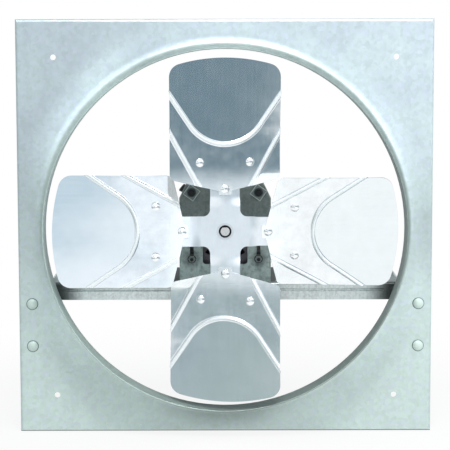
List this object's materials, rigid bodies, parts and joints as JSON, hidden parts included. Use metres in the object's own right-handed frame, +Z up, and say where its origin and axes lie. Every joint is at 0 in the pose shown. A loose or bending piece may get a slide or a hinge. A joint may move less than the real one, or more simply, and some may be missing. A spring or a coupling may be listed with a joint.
{
  "type": "whole house fan",
  "caption": "Square galvanised panel with a venturi ring round a riveted sheet-metal propeller, driven directly by a motor on a plate and shelf behind it.",
  "frame": {"origin": "where the fan axis meets the front face of the square panel, which is also the centre of the mounting holes", "axes": "+Z up as pictured, +X to the right seen from the front, -Y towards the viewer and along the discharged air, +Y towards the motor"},
  "size_m": [0.744, 0.3356, 0.744],
  "materials": {
    "galvanised_sheet": "galvanised, dull with a faint spangle",
    "zinc_steel": "bright zinc plating",
    "plate_steel": "dull grey steel sheet",
    "black_steel": "black oxide, slightly oily",
    "isolator_rubber": "matt moulded rubber",
    "motor_paint": "semi-gloss black paint",
    "core_steel": "stacked laminations",
    "copper_wire": "varnished copper wire",
    "bronze": "oil-soaked sintered bronze",
    "bushing_plastic": "matt moulded plastic",
    "shaft_steel": "ground steel",
    "spider_steel": "bright zinc plating, slightly satin",
    "blade_sheet": "mill-finish sheet with a soft sheen",
    "rivet_metal": "smooth pressed heads"
  },
  "bodies": {
    "frame": {"venturi_panel": "galvanised_sheet", "left_leg": "galvanised_sheet", "right_leg": "galvanised_sheet", "leg_bolts": "zinc_steel", "leg_nuts": "zinc_steel", "motor_shelf": "galvanised_sheet", "shelf_bolts": "zinc_steel", "shelf_nuts": "zinc_steel", "motor_plate": "plate_steel", "foot_bolts": "zinc_steel", "foot_nuts": "zinc_steel", "fixing_bolts": "black_steel", "fixing_nuts": "black_steel", "square_washers": "black_steel", "round_washers": "black_steel", "isolators": "isolator_rubber", "front_end_bell": "motor_paint", "rear_end_bell": "motor_paint", "motor_shell": "motor_paint", "stator_core": "core_steel", "stator_windings": "copper_wire", "front_bearing": "bronze", "rear_bearing": "bronze", "through_bolts": "zinc_steel", "lead_bushing": "bushing_plastic"},
    "rotor": {"shaft": "shaft_steel", "thrust_collars": "shaft_steel", "rotor_core": "core_steel", "hub": "zinc_steel", "hub_screw": "black_steel", "spider": "spider_steel", "blade_1": "blade_sheet", "blade_2": "blade_sheet", "blade_3": "blade_sheet", "blade_4": "blade_sheet", "blade_rivets": "rivet_metal"}
  },
  "joints": [
    {"name": "rotor_spin", "type": "hinge", "parent": "frame", "child": "rotor", "pos_m": [0, 0, 0], "axis": [0, 1, 0], "continuous": true}
  ]
}
